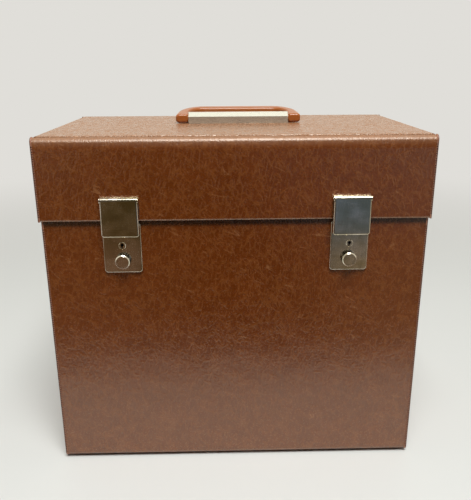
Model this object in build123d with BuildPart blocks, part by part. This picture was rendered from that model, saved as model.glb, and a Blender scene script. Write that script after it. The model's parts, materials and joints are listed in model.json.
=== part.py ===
from build123d import *
from collections import namedtuple
from math import asin, cos, degrees, radians, sin
import os

os.makedirs("parts", exist_ok=True)

# Record carrying case: a leathercloth-covered board body and hinged lid.
# Millimetres. X to the right, Y to the back, Z up; origin on the table under the middle of the lid.

# Overall sizes
lid_width = 360.0
lid_depth = 211.0
lid_height = 76.7
body_height = 252.5
foot_height = 2.8

# Wall build-up, from inside to outside
lining = 0.5
board = 4.2
cover = 0.8
edge_radius = 4.2  # rounding of the covered long edges
end_land = 0.2  # flat left on the end boards beside the rounded ends of the top panel

# How the lid stands out over the body
side_step = 1.8
front_step = 3.4

# The lid's top panel stands above its folded long edges, with a crease in the covering between
fold_drop = 1.0
crease_gap = 1.8  # between the top board and the front and back boards
crease_depth = 1.2
crease_lip = 0.5  # how far the crease reaches over the edge of the front board
crease_floor = 0.3

# Covering turned in round the rims
lid_rim_rounding = 2.0

# Sewn edge welts round the ends
welt_width = 1.8
welt_proud = 0.6
welt_bevel = 0.35

# Fibre collar inside the mouth of the body
collar_board = 1.6
collar_rise = 18.0
collar_drop = 30.0
collar_bend = 4.0
collar_back_gap = 3.0

# Feet
foot_radius = 6.0
foot_bevel = 1.8
foot_inset = 24.0

# Butt hinges on the back
hinge_span = 210.0  # between the middles of the two hinges
leaf_width = 42.0
leaf_height = 24.0
leaf_sheet = 1.2
leaf_corner = 3.0
hinge_pin_radius = 1.5
knuckle_sheet = 1.4
knuckle_count = 5
knuckle_gap = 0.15  # between neighbouring knuckles, each side
knuckle_root = 1.0  # of a knuckle's sheet inside its leaf
surface_gap = 0.4  # between a turning knuckle and the wall behind it
hinge_pin_overhang = 1.0
hinge_pin_bevel = 0.4

# Rivets
rivet_radius = 1.4
rivet_head_radius = 2.7
rivet_head_height = 1.0
rivet_head_bevel = 0.6
rivet_clinch_height = 0.9
leaf_rivet_pitch = 14.0
leaf_rivet_edge = 3.0  # from a rivet's head to the leaf's edge

# Latches, two alike
latch_span = 210.8  # between the middles of the two latches
pressing_sheet = 0.8
flap_top_width = 34.0
flap_bottom_width = 34.4
flap_height = 36.3
flap_above_rim = 22.7
flap_stand_off = 6.3  # outer face of the flap in front of the lid
flap_flange_gap = 0.4  # between the flap's flanges and the hasp plate
flap_bend = 1.5
flap_corner = 2.6
roll_radius = 2.4
flap_pin_radius = 0.8
flap_pin_overhang = 0.2
hasp_plate_sheet = 1.0
hasp_plate_width = 34.8
hasp_plate_corner = 1.3
hasp_ear_root = 2.0  # height of an ear where it leaves the plate
hasp_plate_margin = 2.2  # above the lid's lower edge
hasp_rivet_pitch = 20.0
hasp_rivet_drop = 1.5  # rivets below the middle of the plate
catch_width = 6.0
catch_sheet = 1.2
catch_root = 7.0  # height of the catch where it is welded to the flap
catch_barb = 2.6
catch_height_below_rim = 10.4

lock_plate_width = 35.2
lock_plate_height = 48.6
lock_plate_gap = 1.0  # below the lid's lower edge
lock_plate_stand_off = 2.4
lock_plate_corner = 3.2
lock_plate_bend = 0.9
notch_width = 9.0
notch_depth = 11.5
lock_case_width = 29.2
lock_case_margin = 2.6  # from the lock plate's ends
lock_case_sheet = 0.6
lock_case_depth = 5.6  # behind the lock plate's inner face
pocket_clearance = 0.2
lock_backing_sheet = 0.8
lock_backing_margin = 5.0
backing_corner = 3.0
lock_rivet_x = 10.6
lock_rivet_inset = 5.0

button_radius = 6.8
button_height = 5.2
button_bevel = 0.9
button_face_radius = 5.1
button_face_depth = 0.4
button_below_top = 36.9  # middle of the button under the lock plate's top
button_post_radius = 2.2
button_travel = 4.0
slide_sheet = 1.8
slide_block = 4.0
slide_clearance = 0.4
slide_near = 3.8  # from the button's middle to the block's side at the spring
slide_far = 7.5
slide_rise = 7.5  # top of the slide's sheet above the button's middle
slide_bridge = 3.5  # height of the sheet between the block and the arm
slide_block_rise = 3.0
slide_arm_width = 4.0
slide_arm_clearance = 2.3  # between the arm and the key plug
slide_slot = 1.6
nose_height = 3.5
nose_reach = 1.0
spring_radius = 1.5
spring_wire = 0.5
spring_turns = 3
spring_end_gap = 0.2
spring_drop = 0.5  # spring's axis below the button's

key_below_top = 22.2  # middle of the key plug under the lock plate's top
key_plug_radius = 2.6
key_ring_radius = 3.3
key_ring_height = 0.7
key_ring_bevel = 0.35
key_plug_recess = 0.2
key_plug_length = 5.6
keyhole_radius = 1.5
keyhole_rise = 0.6  # round part of the keyhole above the plug's middle
keyhole_slot = 1.3
keyhole_offset = 0.3  # of the slot, to the left
keyhole_length = 2.8
keyhole_depth = 2.6
key_finger_length = 4.4
key_finger_width = 2.2
key_finger_sheet = 1.0

running_fit = 0.05

# Carrying handle
handle_offset = 5.3  # to the right of the case's middle
channel_length = 104.2
channel_front = 2.7
channel_depth = 15.0
channel_height = 11.3
channel_side = 7.1
channel_ridge = 4.4
rod_radius = 3.5
rod_fit = 0.08
rod_above_lid = 5.2
handle_length = 131.5
handle_reach = 36.5  # from the rod to the outside of the grip
grip_half_height = 7.0
grip_width = 10.0
grip_half_length = 37.0  # of its straight part
tip_half_height = 4.4  # at the front of the tips
tip_front = 4.0  # how far the tips reach in front of the rod's axis
nose_length = 16.0  # of the rounded ends, seen from the front
nose_past_end = 1.5  # of their curve, past the ends of the loop
arm_gap = 0.5  # between an arm and the channel's end
arm_straight = 2.0  # how far an arm runs straight past the channel
handle_rest_gap = 0.35
handle_rounding = 2.6
screw_radius = 1.3
screw_head_radius = 2.6
screw_head_height = 1.4
screw_pitch = 80.0
screw_bite = 4.5
screw_hole_end = 0.3  # empty end of a screw's hole
screw_edge = 1.95  # from the channel's long faces to the screws
backing_sheet = 1.0
backing_margin = 6.0

# Places worked out from the sizes above
wall = board + cover
rim_z = foot_height + body_height
top_z = rim_z + lid_height

# A shell's end face, front, back, closed face, folded long edges and rounding at the rim
Shell = namedtuple("Shell", "name end front back shut fold rim_rounding")
lid = Shell(
    "lid", lid_width / 2, -lid_depth / 2, lid_depth / 2, top_z, top_z - fold_drop, lid_rim_rounding
)
body = Shell(
    "body", lid.end - side_step, lid.front + front_step, lid.back, foot_height, foot_height, cover
)

panel_inset = wall + crease_gap - cover
panel_front = lid.front + panel_inset
panel_back = lid.back - panel_inset
crease_bottom_z = lid.fold - cover - crease_depth
end_rounding = wall - end_land

hinge_axis_y = lid.back + surface_gap + hinge_pin_radius + running_fit + knuckle_sheet
knuckle_radius = hinge_pin_radius + running_fit + knuckle_sheet
leaf_rivet_rise = leaf_height - rivet_head_radius - leaf_rivet_edge
hinge_places = (("left", -hinge_span / 2), ("right", hinge_span / 2))

latch_places = (("left", -1, -latch_span / 2), ("right", 1, latch_span / 2))
flap_face_y = lid.front - flap_stand_off
flap_back_y = lid.front - hasp_plate_sheet - flap_flange_gap
flap_top_z = rim_z + flap_above_rim
flap_bottom_z = flap_top_z - flap_height
roll_y = flap_face_y + roll_radius
roll_z = flap_top_z - roll_radius
hasp_rivet_z = rim_z + flap_above_rim / 2 - hasp_rivet_drop
roll_length = hasp_plate_width - 2 * (hasp_plate_sheet + knuckle_gap)
lock_top_z = rim_z - lock_plate_gap
lock_bottom_z = lock_top_z - lock_plate_height
lock_face_y = body.front - lock_plate_stand_off
lock_inner_y = lock_face_y + pressing_sheet
case_top_z = lock_top_z - lock_case_margin
case_bottom_z = lock_bottom_z + lock_case_margin
case_back_y = lock_inner_y + lock_case_depth
button_z = lock_top_z - button_below_top
key_z = lock_top_z - key_below_top
slide_front_y = lock_inner_y + slide_clearance
lock_rivet_zs = (case_top_z - lock_rivet_inset, case_bottom_z + lock_rivet_inset)

channel_y = channel_front + channel_depth / 2
rod_z = top_z + rod_above_lid
grip_inside = handle_reach - grip_width
loop_half = handle_length / 2
handle_tilt = degrees(asin((grip_half_height + handle_rest_gap - rod_above_lid) / grip_inside))
screw_ys = (channel_front + screw_edge, channel_front + channel_depth - screw_edge)
screw_points = [
    (handle_offset + x, y) for x in (-screw_pitch / 2, screw_pitch / 2) for y in screw_ys
]


def save(builder, name):
    """Label a finished piece and write it to its own file."""
    builder.part.label = name
    export_step(builder.part, f"parts/{name}.step")


def facing_front(y):
    """Plane at the depth y that looks to the front: its own x is X and its own y is Z."""
    return Plane.XZ.offset(-y)


def inset(shell, depth):
    """A shell's front, back and closed face, moved inwards by a depth."""
    inwards = 1 if shell is body else -1
    return shell.front + depth, shell.back - depth, shell.shut + inwards * depth


def rim_inset(shell, depth):
    """Height of a shell's rim, moved inwards by a depth."""
    return rim_z - depth if shell is body else rim_z + depth


def wall_outline(front, back, shut, rim, radius=0.0, rim_radius=0.0, mode=Mode.ADD):
    """Draw an end outline, rounded at its closed side and at its rim."""
    radii = (rim_radius, radius, radius, rim_radius)
    with BuildLine() as outline:
        FilletPolyline((front, rim), (front, shut), (back, shut), (back, rim), radius=radii, close=True)
    make_face(outline.edges(), mode=mode)


def shell_outline(shell, depth, mode=Mode.ADD):
    """Draw a shell's end outline at a depth in its wall, with the lid's raised top panel."""
    front, back, shut = inset(shell, depth)
    fold = shut + shell.fold - shell.shut
    rim = rim_inset(shell, depth)
    wall_outline(front, back, fold, rim, edge_radius - depth, shell.rim_rounding - depth, mode)
    if shell is lid:
        panel = panel_front + depth, panel_back - depth, shut
        wall_outline(*panel, lid.fold - wall, cover - depth, 0, mode)


def drill(y, points, radius, depth):
    """Cut round holes from the depth y towards the back, through a wall."""
    with BuildSketch(facing_front(y)) as holes:
        with Locations(*points):
            Circle(radius)
    extrude(holes.sketch, amount=-depth, mode=Mode.SUBTRACT)


def hinge_rivet_points(sign):
    """Rivets of both hinges in the leaves above (1) or below (-1) the rim."""
    offsets = (-leaf_rivet_pitch, 0, leaf_rivet_pitch)
    z = rim_z + sign * leaf_rivet_rise
    return [(x + offset, z) for _, x in hinge_places for offset in offsets]


def hasp_rivet_points():
    offsets = (-hasp_rivet_pitch / 2, hasp_rivet_pitch / 2)
    return [(x + offset, hasp_rivet_z) for _, _, x in latch_places for offset in offsets]


def lock_rivet_points(side, x):
    return [(x - side * lock_rivet_x, z) for z in lock_rivet_zs]


def all_lock_rivet_points():
    return [point for _, side, x in latch_places for point in lock_rivet_points(side, x)]


def wall_holes(shell):
    """Cut every hole that the fittings need through the shell's front and back walls."""
    inside = wall + lining
    sign = 1 if shell is lid else -1
    hole = rivet_radius + running_fit
    drill(shell.back - 2 * inside, hinge_rivet_points(sign), hole, 3 * inside)
    if shell is lid:
        drill(shell.front - inside, hasp_rivet_points(), hole, 3 * inside)
        return
    drill(shell.front - inside, all_lock_rivet_points(), hole, 3 * inside)


def lock_pockets():
    """Cut the openings that the lock cases sit in through the body's front wall."""
    width = lock_case_width + 2 * pocket_clearance
    height = case_top_z - case_bottom_z + 2 * pocket_clearance
    with BuildSketch(facing_front(body.front - cover)) as pockets:
        with Locations(*[(x, (case_top_z + case_bottom_z) / 2) for _, _, x in latch_places]):
            Rectangle(width, height)
    extrude(pockets.sketch, amount=-(wall + cover), mode=Mode.SUBTRACT)


def handle_screw_holes(radius=screw_radius + running_fit):
    """Cut the handle's screw holes down through the lid's top."""
    with BuildSketch(Plane.XY.offset(top_z + channel_height)) as holes:
        with Locations(*screw_points):
            Circle(radius)
    depth = channel_height + wall + lining + 2 * backing_sheet
    extrude(holes.sketch, amount=-depth, mode=Mode.SUBTRACT)


def crease_fills(height, mode=Mode.ADD):
    """Draw the gaps beside the top board, from the creases' bottoms up by a height."""
    for wall_y, inwards in ((lid.front, 1), (lid.back, -1)):
        with Locations((wall_y + inwards * (wall + crease_gap / 2), crease_bottom_z + height / 2)):
            Rectangle(crease_gap, height, mode=mode)


def crease_grooves():
    """Draw the creases as cuts that end against the upright sides of the top panel."""
    for wall_y, inwards in ((lid.front, 1), (lid.back, -1)):
        panel_y = wall_y + inwards * panel_inset
        with BuildLine() as groove:
            Polyline(
                (wall_y + inwards * (wall - crease_lip), lid.fold),
                (panel_y - inwards * crease_floor, lid.fold - crease_depth),
                (panel_y, lid.fold - crease_depth),
                (panel_y, lid.fold),
                close=True,
            )
        make_face(groove.edges(), mode=Mode.SUBTRACT)


def band_cover(shell):
    """Covering that runs from the front over the closed side to the back."""
    length = shell.end - welt_width
    with BuildPart() as band:
        with BuildSketch(Plane.YZ.offset(-length)):
            shell_outline(shell, 0)
            shell_outline(shell, cover, Mode.SUBTRACT)
            mouth = shell.front + wall, shell.back - wall
            wall_outline(*mouth, rim_inset(shell, cover), rim_z, mode=Mode.SUBTRACT)
            if shell is lid:
                crease_fills(lid.fold - crease_bottom_z)
                crease_grooves()
        extrude(amount=2 * length)
        wall_holes(shell)
        if shell is lid:
            handle_screw_holes()
            with BuildSketch(Plane.XY.offset(crease_bottom_z)):
                with Locations(*[(side * (lid.end - end_rounding / 2), 0) for side in (-1, 1)]):
                    Rectangle(end_rounding, panel_back - panel_front)
            extrude(amount=top_z - crease_bottom_z, mode=Mode.SUBTRACT)
        else:
            lock_pockets()
    save(band, f"{shell.name}_band_cover")


def end_board(shell, side, side_name):
    """End board, between the covering and the lining."""
    with BuildPart() as end:
        with BuildSketch(Plane.YZ.offset(side * (shell.end - cover))):
            shell_outline(shell, cover)
            if shell is lid:
                crease_fills(top_z - crease_bottom_z, Mode.SUBTRACT)
        extrude(amount=-side * board)
        if shell is lid:
            top_edges = end.edges().filter_by(Axis.Y).group_by(Axis.Z)[-1]
            fillet(top_edges.sort_by(Axis.X)[0 if side < 0 else -1], end_rounding - cover)
    save(end, f"{shell.name}_{side_name}_board")


def end_cover(shell, side, side_name):
    """Covering of an end, turned in round the rim; the lid's also rolls over onto the top."""
    with BuildPart() as skin:
        with BuildSketch(Plane.YZ.offset(side * shell.end)):
            front, back, shut = inset(shell, cover)
            fold = shut + shell.fold - shell.shut
            wall_outline(front, back, fold, rim_z, edge_radius - cover)
            if shell is lid:
                for depth, low in ((0, crease_bottom_z), (cover, top_z - end_rounding)):
                    cut = panel_front + depth, panel_back - depth
                    wall_outline(*cut, top_z, low, mode=Mode.SUBTRACT)
        extrude(amount=-side * cover)
        with BuildSketch(Plane.YZ.offset(side * (shell.end - cover))):
            wall_outline(shell.front + wall, shell.back - wall, rim_inset(shell, cover), rim_z)
        extrude(amount=-side * board)
        if shell is lid:
            rolled_edge(side)
    save(skin, f"{shell.name}_{side_name}_cover")


def rolled_edge(side):
    """Rounded end of the top panel, with its own closed ends above the creases."""
    middle = side * (lid.end - end_rounding), top_z - end_rounding
    corner = side * (lid.end - end_rounding / 2), top_z - end_rounding / 2
    with BuildSketch(facing_front(panel_back - cover)) as roll:
        with Locations(middle):
            Circle(end_rounding)
            Circle(end_rounding - cover, mode=Mode.SUBTRACT)
        with Locations(corner):
            Rectangle(end_rounding, end_rounding, mode=Mode.INTERSECT)
    extrude(roll.sketch, amount=panel_back - panel_front - 2 * cover)
    for y in (panel_back, panel_front + cover):
        with BuildSketch(facing_front(y)) as end:
            with Locations(middle):
                Circle(end_rounding)
            with Locations((corner[0], (top_z + crease_bottom_z) / 2)):
                Rectangle(end_rounding, top_z - crease_bottom_z, mode=Mode.INTERSECT)
        extrude(end.sketch, amount=cover)


def welt_runs(shell):
    """Paths of a shell's welts: up the lid's corners to the creases, and round under the body."""
    depth = (cover - welt_proud) / 2
    front, back, shut = inset(shell, depth)
    if shell is body:
        return [((front, rim_z), (front, shut), (back, shut), (back, rim_z))]
    fold = shut - fold_drop
    return [
        ((front, rim_z), (front, fold), (lid.front + wall, fold)),
        ((back, rim_z), (back, fold), (lid.back - wall, fold)),
    ]


def welt(shell, side, side_name):
    """Sewn welts along the upright corners of a shell's end."""
    depth = welt_proud + cover
    radius = edge_radius - (cover - welt_proud) / 2
    with BuildPart() as edge:
        for run in welt_runs(shell):
            with BuildLine(Plane.YZ.offset(side * (shell.end - welt_width / 2))) as path:
                FilletPolyline(*run, radius=radius)
            start = Plane(origin=path.line @ 0, x_dir=(1, 0, 0), z_dir=path.line % 0)
            with BuildSketch(start) as section:
                Rectangle(welt_width, depth)
                chamfer(section.vertices(), welt_bevel)
            sweep(section.sketch, path=path.line)
    save(edge, f"{shell.name}_{side_name}_welt")


def long_board(shell, face, name):
    """Front (-1) or back (1) board, between the two end boards."""
    front, back, shut = inset(shell, cover)
    fold = shut + shell.fold - shell.shut
    length = shell.end - wall
    inner = front + board if face < 0 else back - board
    with BuildPart() as panel:
        with BuildSketch(Plane.YZ.offset(-length)):
            rim = rim_inset(shell, cover)
            wall_outline(front, back, fold, rim, edge_radius - cover, shell.rim_rounding - cover)
            with Locations((inner - face * lid_depth, rim_z)):
                Rectangle(2 * lid_depth, 4 * body_height, mode=Mode.SUBTRACT)
        extrude(amount=2 * length)
        wall_holes(shell)
        if shell is body and face < 0:
            lock_pockets()
    save(panel, f"{shell.name}_{name}_board")


def flat_board(shell, name, gap):
    """Top or bottom board, between the front and back boards."""
    front, back, shut = inset(shell, wall)
    low, high = sorted((shut, inset(shell, cover)[2]))
    with BuildPart() as panel:
        with BuildSketch(Plane.XY.offset(low)):
            with Locations((0, (front + back) / 2)):
                Rectangle(2 * (shell.end - wall), back - front - 2 * gap)
        extrude(amount=high - low)
        if shell is lid:
            handle_screw_holes()
    save(panel, f"{shell.name}_{name}_board")


def inner_lining(shell):
    """Thin lining glued to the inside of the boards."""
    length = shell.end - wall
    with BuildPart() as skin:
        with BuildSketch(Plane.YZ.offset(-length)):
            wall_outline(*inset(shell, wall), rim_z)
        extrude(amount=2 * length)
        with BuildSketch(Plane.YZ.offset(-length + lining)):
            wall_outline(*inset(shell, wall + lining), rim_z)
        extrude(amount=2 * (length - lining), mode=Mode.SUBTRACT)
        wall_holes(shell)
        if shell is lid:
            handle_screw_holes()
    save(skin, f"{shell.name}_lining")


def rim_collar():
    """Strip of fibre board bent round the inside of the body's mouth, open at the back."""
    face = wall + lining
    x = body.end - face
    front = body.front + face
    back = body.back - face - collar_back_gap
    with BuildPart() as collar:
        with BuildSketch(Plane.XY.offset(rim_z - collar_drop)):
            with BuildLine():
                FilletPolyline((-x, back), (-x, front), (x, front), (x, back), radius=collar_bend)
                Line((x, back), (-x, back))
            make_face()
            inner, bend = x - collar_board, collar_bend - collar_board
            with BuildLine():
                FilletPolyline(
                    (-inner, back),
                    (-inner, front + collar_board),
                    (inner, front + collar_board),
                    (inner, back),
                    radius=bend,
                )
                Line((inner, back), (-inner, back))
            make_face(mode=Mode.SUBTRACT)
        extrude(amount=collar_drop + collar_rise)
        drill(front - collar_board, all_lock_rivet_points(), rivet_radius + running_fit, 3 * collar_board)
    save(collar, "rim_collar")


def feet():
    """Four domed studs under the body."""
    x = body.end - foot_inset
    ys = (body.front + foot_inset, body.back - foot_inset)
    with BuildPart() as studs:
        with BuildSketch(Plane.XY.offset(foot_height)):
            with Locations(*[(sx * x, y) for sx in (-1, 1) for y in ys]):
                Circle(foot_radius)
        extrude(amount=-foot_height)
        chamfer(studs.edges().group_by(Axis.Z)[0], foot_bevel)
    save(studs, "feet")


def knuckle_spans(mine):
    """Middle and length of every second knuckle along a hinge, from the first or the second."""
    pitch = leaf_width / knuckle_count
    places = range(mine, knuckle_count, 2)
    return [(-leaf_width / 2 + (i + 0.5) * pitch, pitch - 2 * knuckle_gap) for i in places]


def hinge_leaf(name, x, sign, mine):
    """Leaf above (1) or below (-1) the rim, with its own knuckles curled round the pin."""
    clear = knuckle_radius + surface_gap
    with BuildPart() as leaf:
        with BuildSketch(facing_front(lid.back + leaf_sheet)) as outline:
            with Locations((x, rim_z + sign * (leaf_height + clear) / 2)):
                Rectangle(leaf_width, leaf_height - clear)
            fillet(outline.vertices().group_by(Axis.Y)[-1 if sign > 0 else 0], leaf_corner)
        extrude(amount=leaf_sheet)
        for middle, length in knuckle_spans(mine):
            with BuildSketch(Plane.YZ.offset(x + middle - length / 2)):
                with Locations((hinge_axis_y, rim_z)):
                    Circle(knuckle_radius)
                with Locations((lid.back + leaf_sheet / 2, rim_z + sign * (clear + knuckle_root) / 2)):
                    Rectangle(leaf_sheet, clear + knuckle_root)
                with Locations((lid.back, rim_z)):
                    Rectangle(2 * surface_gap, 3 * knuckle_radius, mode=Mode.SUBTRACT)
                with Locations((lid.back + leaf_sheet / 2, rim_z + sign * (clear + knuckle_root / 2))):
                    Rectangle(leaf_sheet, knuckle_root)
                with Locations((hinge_axis_y, rim_z)):
                    Circle(hinge_pin_radius + running_fit, mode=Mode.SUBTRACT)
            extrude(amount=length)
        points = [p for p in hinge_rivet_points(sign) if abs(p[0] - x) < leaf_width / 2]
        drill(lid.back - leaf_sheet, points, rivet_radius + running_fit, 3 * leaf_sheet)
    save(leaf, name)


def hinge_pin(name, x):
    with BuildPart() as pin:
        with BuildSketch(Plane.YZ.offset(x - leaf_width / 2 - hinge_pin_overhang)):
            with Locations((hinge_axis_y, rim_z)):
                Circle(hinge_pin_radius)
        extrude(amount=leaf_width + 2 * hinge_pin_overhang)
        chamfer(pin.edges().filter_by(GeomType.CIRCLE), hinge_pin_bevel)
    save(pin, name)


def rivets(name, outer_y, inner_y, points):
    """Rivets through a wall, domed at outer_y and clinched flat at inner_y."""
    outward = 1 if outer_y > inner_y else -1
    with BuildPart() as row:
        with BuildSketch(facing_front(outer_y)):
            with Locations(*points):
                Circle(rivet_radius)
        extrude(amount=outward * abs(outer_y - inner_y))
        for y, height in (
            (inner_y, -outward * rivet_clinch_height),
            (outer_y, outward * rivet_head_height),
        ):
            with BuildSketch(facing_front(y)):
                with Locations(*points):
                    Circle(rivet_head_radius)
            extrude(amount=-height)
        heads = row.faces().filter_by(Axis.Y).group_by(Axis.Y)[-1 if outward > 0 else 0]
        chamfer(heads.edges(), rivet_head_bevel)
    save(row, name)


def hasp_plate(side_name, x):
    """Plate riveted to the lid, with an ear at each side that holds the flap's pin."""
    bottom = rim_z + hasp_plate_margin
    with BuildPart() as plate:
        with BuildSketch(facing_front(lid.front)):
            with Locations((x, (bottom + flap_top_z) / 2)):
                RectangleRounded(hasp_plate_width, flap_top_z - bottom, hasp_plate_corner)
        extrude(amount=hasp_plate_sheet)
        for ear_x in (x - hasp_plate_width / 2, x + hasp_plate_width / 2 - hasp_plate_sheet):
            with BuildSketch(Plane.YZ.offset(ear_x)):
                with Locations((roll_y, roll_z)):
                    Circle(roll_radius)
                with Locations(((roll_y + lid.front) / 2, roll_z)):
                    Rectangle(lid.front - roll_y, hasp_ear_root)
                with Locations((roll_y, roll_z)):
                    Circle(flap_pin_radius + running_fit, mode=Mode.SUBTRACT)
            extrude(amount=hasp_plate_sheet)
        drill(lid.front - 2 * hasp_plate_sheet, hasp_rivet_points(), rivet_radius + running_fit, wall)
    save(plate, f"hasp_plate_{side_name}")


def flap_outline(x, shrink, high):
    """Draw the flap from a height down, made smaller all round by a sheet's thickness."""
    top, bottom = flap_top_width / 2 - shrink, flap_bottom_width / 2 - shrink
    low = flap_bottom_z + shrink
    corner = flap_corner - shrink
    points = (x - top, high), (x - bottom, low), (x + bottom, low), (x + top, high)
    with BuildLine() as outline:
        FilletPolyline(*points, radius=(0, corner, corner, 0), close=True)
    make_face(outline.edges())


def hasp_flap(side_name, x):
    """Pressed flap with flanged sides and foot, rolled round its pin at the top."""
    depth = flap_back_y - flap_face_y
    across = Plane.YZ.offset(x - flap_top_width / 2)
    roll_start = x - roll_length / 2
    corner = (hasp_plate_width - roll_length) / 2
    with BuildPart() as flap:
        with BuildSketch(facing_front(flap_back_y)):
            flap_outline(x, 0, roll_z)
        extrude(amount=depth)
        front = flap.faces().sort_by(Axis.Y)[0]
        fillet(front.edges().sort_by(Axis.Z)[:-1], flap_bend)
        with BuildSketch(facing_front(flap_back_y)):
            flap_outline(x, pressing_sheet, roll_z + roll_radius)
        extrude(amount=depth - pressing_sheet, mode=Mode.SUBTRACT)
        # the flanges stop under the roll, so that the flap can swing up
        with BuildSketch(across):
            with Locations((roll_y + 2 * roll_radius, roll_z)):
                Rectangle(4 * roll_radius, 3 * roll_radius)
        extrude(amount=flap_top_width, mode=Mode.SUBTRACT)
        # and its top corners are cut out round the hasp plate's ears
        for cut_x in (roll_start - corner, roll_start + roll_length):
            with BuildSketch(Plane.YZ.offset(cut_x)):
                with Locations((roll_y, roll_z)):
                    Rectangle(4 * roll_radius, 2 * (roll_radius + 2 * knuckle_gap))
            extrude(amount=corner, mode=Mode.SUBTRACT)
        with BuildSketch(Plane.YZ.offset(roll_start)):
            with Locations((roll_y, roll_z)):
                Circle(roll_radius)
        extrude(amount=roll_length)
        with BuildSketch(Plane.YZ.offset(roll_start)):
            with Locations((roll_y, roll_z)):
                Circle(flap_pin_radius + running_fit)
        extrude(amount=roll_length, mode=Mode.SUBTRACT)
    save(flap, f"hasp_flap_{side_name}")


def hasp_pin(side_name, x):
    with BuildPart() as pin:
        with BuildSketch(Plane.YZ.offset(x - hasp_plate_width / 2 - flap_pin_overhang)):
            with Locations((roll_y, roll_z)):
                Circle(flap_pin_radius)
        extrude(amount=hasp_plate_width + 2 * flap_pin_overhang)
    save(pin, f"hasp_pin_{side_name}")


def hasp_catch(side_name, x):
    """Tongue inside the flap that drops into the notch of the lock plate."""
    inner_y = flap_face_y + pressing_sheet
    tip_y = lock_face_y + pressing_sheet / 2
    z = rim_z - catch_height_below_rim
    with BuildPart() as catch:
        with BuildSketch(Plane.YZ.offset(x - catch_width / 2)):
            with BuildLine():
                Polyline(
                    (inner_y, z + catch_root),
                    (inner_y, z),
                    (tip_y, z),
                    (tip_y, z + catch_barb),
                    (tip_y - catch_sheet, z + catch_sheet),
                    (inner_y + catch_sheet, z + catch_sheet),
                    (inner_y + catch_sheet, z + catch_root),
                    close=True,
                )
            make_face()
        extrude(amount=catch_width)
    save(catch, f"hasp_catch_{side_name}")


def lock_plate(side_name, side, x):
    """Pressed front of the lock: a shallow tray with a notch, a button slot and a key ring."""
    middle = (x, (lock_top_z + lock_bottom_z) / 2)
    with BuildPart() as plate:
        with BuildSketch(facing_front(body.front)):
            with Locations(middle):
                RectangleRounded(lock_plate_width, lock_plate_height, lock_plate_corner)
        extrude(amount=lock_plate_stand_off)
        fillet(plate.faces().sort_by(Axis.Y)[0].edges(), lock_plate_bend)
        with BuildSketch(facing_front(body.front)):
            with Locations(middle):
                RectangleRounded(
                    lock_plate_width - 2 * pressing_sheet,
                    lock_plate_height - 2 * pressing_sheet,
                    lock_plate_corner - pressing_sheet,
                )
        extrude(amount=lock_plate_stand_off - pressing_sheet, mode=Mode.SUBTRACT)
        with BuildSketch(facing_front(lock_face_y)):
            with Locations((x, key_z)):
                Circle(key_ring_radius)
        extrude(amount=key_ring_height)
        ring = plate.faces().filter_by(Axis.Y).sort_by(Axis.Y)[0]
        chamfer(ring.edges(), key_ring_bevel)
        with BuildSketch(facing_front(body.front)):
            with Locations((x, key_z)):
                Circle(key_plug_radius + running_fit)
            with Locations((x + side * button_travel / 2, button_z)):
                SlotOverall(
                    2 * (button_post_radius + running_fit) + button_travel,
                    2 * (button_post_radius + running_fit),
                )
            with Locations((x, lock_top_z)):
                Rectangle(notch_width, 2 * notch_depth)
        extrude(amount=2 * lock_plate_stand_off, mode=Mode.SUBTRACT)
    save(plate, f"lock_plate_{side_name}")


def lock_case(side_name, side, x):
    """Sheet box behind the lock plate that holds the slide, its spring and the key plug."""
    middle = (x, (case_top_z + case_bottom_z) / 2)
    height = case_top_z - case_bottom_z
    with BuildPart() as case:
        with BuildSketch(facing_front(case_back_y)):
            with Locations(middle):
                Rectangle(lock_case_width, height)
        extrude(amount=lock_case_depth)
        with BuildSketch(facing_front(case_back_y - lock_case_sheet)):
            with Locations(middle):
                Rectangle(lock_case_width - 2 * lock_case_sheet, height - 2 * lock_case_sheet)
        extrude(amount=lock_case_depth, mode=Mode.SUBTRACT)
        holes = lock_rivet_points(side, x)
        drill(case_back_y - lock_case_depth / 2, holes, rivet_radius + running_fit, lock_case_depth)
    save(case, f"lock_case_{side_name}")


def lock_backing(side_name, side, x):
    """Plate on the inside of the wall that the lock is riveted to."""
    inside_y = body.front + wall + lining + collar_board
    with BuildPart() as backing:
        with BuildSketch(facing_front(inside_y)):
            with Locations((x, (case_top_z + case_bottom_z) / 2)):
                RectangleRounded(
                    lock_case_width + lock_backing_margin,
                    case_top_z - case_bottom_z + lock_backing_margin,
                    backing_corner,
                )
        extrude(amount=-lock_backing_sheet)
        holes = lock_rivet_points(side, x)
        drill(inside_y - lock_backing_sheet, holes, rivet_radius + running_fit, 3 * lock_backing_sheet)
    save(backing, f"lock_backing_{side_name}")


def lock_slide(side_name, side, x):
    """Slide inside the lock: a block at the button, and an arm with the bolt's nose."""
    inner = x + side * (key_plug_radius + slide_arm_clearance)
    outer = inner + side * slide_arm_width
    near = x + side * slide_near
    far = x - side * slide_far
    sheet_low = button_z - slide_block
    sheet_high = button_z + slide_rise
    nose_z = rim_z - catch_height_below_rim - nose_height
    with BuildPart() as slide:
        with BuildSketch(facing_front(slide_front_y + slide_sheet)):
            box_from(inner, outer, sheet_high - slide_bridge, nose_z + nose_height)
            box_from(inner, x + side * nose_reach, nose_z, nose_z + nose_height)
            box_from(outer, far, sheet_high - slide_bridge, sheet_high)
            box_from(near, far, sheet_low, sheet_high)
            with Locations((inner, key_z)):
                Rectangle(slide_slot, key_finger_width + 2 * slide_clearance, mode=Mode.SUBTRACT)
        extrude(amount=slide_sheet)
        with BuildSketch(facing_front(slide_front_y + slide_block)):
            box_from(near, far, sheet_low, button_z + slide_block_rise)
        extrude(amount=slide_block)
        with BuildSketch(facing_front(slide_front_y)):
            with Locations((x, button_z)):
                Circle(button_post_radius)
        extrude(amount=slide_front_y - lock_face_y + slide_clearance)
    save(slide, f"lock_slide_{side_name}")


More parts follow.
